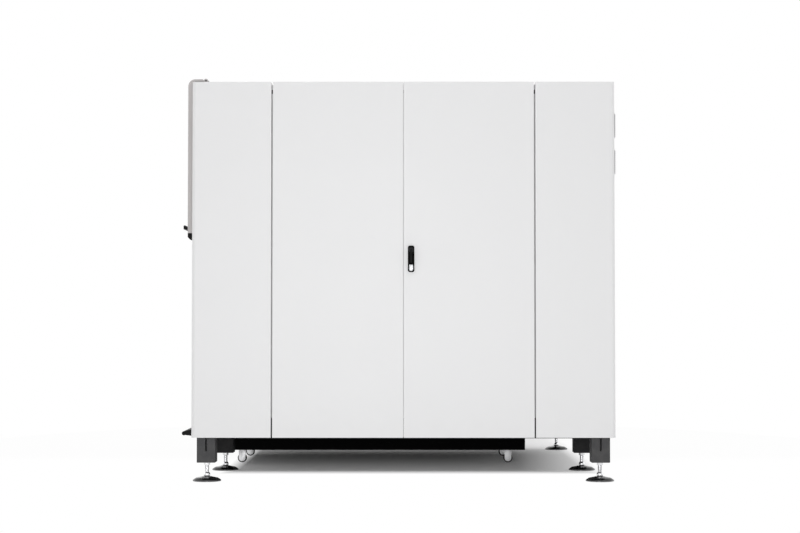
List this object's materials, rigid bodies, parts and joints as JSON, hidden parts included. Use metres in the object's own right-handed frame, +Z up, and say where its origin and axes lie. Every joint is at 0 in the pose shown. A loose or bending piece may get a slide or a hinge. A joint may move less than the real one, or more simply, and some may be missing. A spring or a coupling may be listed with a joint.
{
  "type": "fiber laser cutting machine",
  "caption": "Enclosed flat-bed fiber laser cutting machine: lift-up front hood, side service doors, gantry with cutting head over a slat bed, scrap cart below.",
  "frame": {"origin": "centre of the footprint on the floor", "axes": "+Z up, -Y towards the operator at the hood, +X towards the side service doors"},
  "size_m": [2.4216, 2.106, 1.956],
  "materials": {
    "white_paint": "satin white powder coat",
    "grey_paint": "warm grey powder coat",
    "frame_black": "semi-matt black paint",
    "black_plastic": "fine grained black",
    "black_pad": "glossy black",
    "black_rubber": "matt black",
    "bright_steel": "zinc plated and ground steel",
    "raw_steel": "plain sheet steel",
    "aluminium": "machined and bead blasted",
    "motor_black": "satin black",
    "window_glass": "dark laser safety window",
    "screen_glass": "dark touch screen",
    "red_plastic": "red",
    "green_plastic": "green",
    "copper": "bare copper"
  },
  "bodies": {
    "machine": {"bed_frame": "frame_black", "cabinet_frame": "frame_black", "door_mullion": "white_paint", "foot_pads": "black_pad", "foot_studs": "bright_steel", "right_panels": "white_paint", "left_panels": "white_paint", "roof_panel": "white_paint", "rear_panels": "white_paint", "rear_louvres": "white_paint", "rear_ports": "black_plastic", "front_panel": "white_paint", "hinge_arms": "bright_steel", "hood_hinges": "frame_black", "gas_brackets": "frame_black", "console_plate": "black_plastic", "touch_screen": "screen_glass", "scrap_hopper": "raw_steel", "slat_frame": "raw_steel", "slats": "raw_steel", "y_guides": "bright_steel", "cabinet_liner": "white_paint", "laser_source": "grey_paint", "electrical_panel": "raw_steel"},
    "hood": {"hood_shell": "grey_paint", "hood_window": "window_glass", "hood_lip": "black_rubber", "hood_handle": "black_plastic"},
    "gas_cylinder_left": {"gas_cylinder_left": "frame_black"},
    "gas_cylinder_right": {"gas_cylinder_right": "frame_black"},
    "gas_rod_left": {"gas_rod_left": "bright_steel"},
    "gas_rod_right": {"gas_rod_right": "bright_steel"},
    "door_front": {"door_front": "white_paint"},
    "door_rear": {"door_rear": "white_paint", "lock_base": "black_plastic"},
    "lock_spindle": {"lock_spindle": "black_plastic"},
    "lock_lever": {"lock_lever": "black_plastic"},
    "lock_button": {"lock_button": "bright_steel"},
    "front_flap": {"front_flap": "white_paint", "flap_handles": "black_plastic"},
    "estop_button": {"estop_button": "red_plastic"},
    "start_button": {"start_button": "green_plastic"},
    "stop_button": {"stop_button": "red_plastic"},
    "cart": {"scrap_cart": "frame_black", "cart_casters": "bright_steel"},
    "wheel_front_left": {"wheel_front_left": "black_rubber"},
    "wheel_front_right": {"wheel_front_right": "black_rubber"},
    "wheel_rear_left": {"wheel_rear_left": "black_rubber"},
    "wheel_rear_right": {"wheel_rear_right": "black_rubber"},
    "gantry": {"gantry_beam": "aluminium", "y_drives": "motor_black", "x_guides": "bright_steel"},
    "y_pinion_left": {"y_pinion_left": "bright_steel"},
    "y_pinion_right": {"y_pinion_right": "bright_steel"},
    "carriage": {"x_carriage": "aluminium", "x_drive": "motor_black"},
    "x_pinion": {"x_pinion": "bright_steel"},
    "cutting_axis": {"z_slide": "aluminium", "cutting_head": "motor_black", "nozzle": "copper"}
  },
  "joints": [
    {"name": "hood_lift", "type": "hinge", "parent": "machine", "child": "hood", "pos_m": [0, -0.94, 1.946], "axis": [-1, 0, 0], "range_deg": [0, 70]},
    {"name": "gas_lean_left", "type": "hinge", "parent": "machine", "child": "gas_cylinder_left", "pos_m": [-1.058, -0.933, 1.25], "axis": [1, 0, 0], "range_deg": [0, 3.19]},
    {"name": "gas_stroke_left", "type": "slide", "parent": "gas_cylinder_left", "child": "gas_rod_left", "axis": [0, -0.1117, 0.9937], "range_m": [0, 0.12868]},
    {"name": "gas_lean_right", "type": "hinge", "parent": "machine", "child": "gas_cylinder_right", "pos_m": [1.058, -0.933, 1.25], "axis": [1, 0, 0], "range_deg": [0, 3.19]},
    {"name": "gas_stroke_right", "type": "slide", "parent": "gas_cylinder_right", "child": "gas_rod_right", "axis": [0, -0.1117, 0.9937], "range_m": [0, 0.12868]},
    {"name": "door_front_swing", "type": "hinge", "parent": "machine", "child": "door_front", "pos_m": [1.1875, -0.592, 1.068], "axis": [0, 0, -1], "range_deg": [0, 105]},
    {"name": "door_rear_swing", "type": "hinge", "parent": "machine", "child": "door_rear", "pos_m": [1.1875, 0.642, 1.068], "axis": [0, 0, 1], "range_deg": [0, 105]},
    {"name": "lock_turn", "type": "hinge", "parent": "door_rear", "child": "lock_spindle", "pos_m": [1.2, 0.0625, 1.1125], "axis": [-1, 0, 0], "range_deg": [0, 90]},
    {"name": "lock_lift", "type": "hinge", "parent": "lock_spindle", "child": "lock_lever", "pos_m": [1.2176, 0.0625, 1.1125], "axis": [0, -1, 0], "range_deg": [0, 35]},
    {"name": "lock_push", "type": "slide", "parent": "door_rear", "child": "lock_button", "axis": [-1, 0, 0], "range_m": [0, 0.003], "stiffness_N_per_m": 800},
    {"name": "flap_swing", "type": "hinge", "parent": "machine", "child": "front_flap", "pos_m": [0, -0.9805, 0.545], "axis": [-1, 0, 0], "range_deg": [0, 90]},
    {"name": "estop_push", "type": "slide", "parent": "machine", "child": "estop_button", "axis": [0, 1, 0], "range_m": [0, 0.004], "stiffness_N_per_m": 1200},
    {"name": "start_push", "type": "slide", "parent": "machine", "child": "start_button", "axis": [0, 1, 0], "range_m": [0, 0.004], "stiffness_N_per_m": 800},
    {"name": "stop_push", "type": "slide", "parent": "machine", "child": "stop_button", "axis": [0, 1, 0], "range_m": [0, 0.004], "stiffness_N_per_m": 800},
    {"name": "cart_pull", "type": "slide", "parent": "machine", "child": "cart", "axis": [0, -1, 0], "range_m": [0, 1.3]},
    {"name": "gantry_travel", "type": "slide", "parent": "machine", "child": "gantry", "axis": [0, -1, 0], "range_m": [0, 1.3]},
    {"name": "carriage_travel", "type": "slide", "parent": "gantry", "child": "carriage", "axis": [1, 0, 0], "range_m": [0, 0.94]},
    {"name": "z_travel", "type": "slide", "parent": "carriage", "child": "cutting_axis", "axis": [0, 0, -1], "range_m": [0, 0.1]},
    {"name": "wheel_front_left_roll", "type": "hinge", "parent": "cart", "child": "wheel_front_left", "pos_m": [-0.5935, -0.864, 0.025], "axis": [1, 0, 0], "range_deg": [0, 2980.4]},
    {"name": "wheel_rear_left_roll", "type": "hinge", "parent": "cart", "child": "wheel_rear_left", "pos_m": [-0.5935, 0.598, 0.025], "axis": [1, 0, 0], "range_deg": [0, 2980.4]},
    {"name": "wheel_front_right_roll", "type": "hinge", "parent": "cart", "child": "wheel_front_right", "pos_m": [-0.0815, -0.864, 0.025], "axis": [1, 0, 0], "range_deg": [0, 2980.4]},
    {"name": "wheel_rear_right_roll", "type": "hinge", "parent": "cart", "child": "wheel_rear_right", "pos_m": [-0.0815, 0.598, 0.025], "axis": [1, 0, 0], "range_deg": [0, 2980.4]},
    {"name": "y_pinion_right_turn", "type": "hinge", "parent": "gantry", "child": "y_pinion_right", "pos_m": [0.373, 0.873, 1.111], "axis": [0, 0, 1], "range_deg": [0, 2328.6]},
    {"name": "y_pinion_left_turn", "type": "hinge", "parent": "gantry", "child": "y_pinion_left", "pos_m": [-1.048, 0.873, 1.111], "axis": [0, 0, -1], "range_deg": [0, 2328.6]},
    {"name": "x_pinion_turn", "type": "hinge", "parent": "carriage", "child": "x_pinion", "pos_m": [-0.7075, 0.673, 1.241], "axis": [0, -1, 0], "range_deg": [0, 2245.1]}
  ],
  "couplings": [
    {"joint": "gas_lean_left", "follows": "hood_lift", "ratio": 0.045535},
    {"joint": "gas_stroke_left", "follows": "hood_lift", "m_per_rad": 0.10528},
    {"joint": "gas_lean_right", "follows": "hood_lift", "ratio": 0.045535},
    {"joint": "gas_stroke_right", "follows": "hood_lift", "m_per_rad": 0.10528},
    {"joint": "wheel_front_left_roll", "follows": "cart_pull", "rad_per_m": 40},
    {"joint": "wheel_rear_left_roll", "follows": "cart_pull", "rad_per_m": 40},
    {"joint": "wheel_front_right_roll", "follows": "cart_pull", "rad_per_m": 40},
    {"joint": "wheel_rear_right_roll", "follows": "cart_pull", "rad_per_m": 40},
    {"joint": "y_pinion_right_turn", "follows": "gantry_travel", "rad_per_m": 31.25},
    {"joint": "y_pinion_left_turn", "follows": "gantry_travel", "rad_per_m": 31.25},
    {"joint": "x_pinion_turn", "follows": "carriage_travel", "rad_per_m": 41.667}
  ]
}
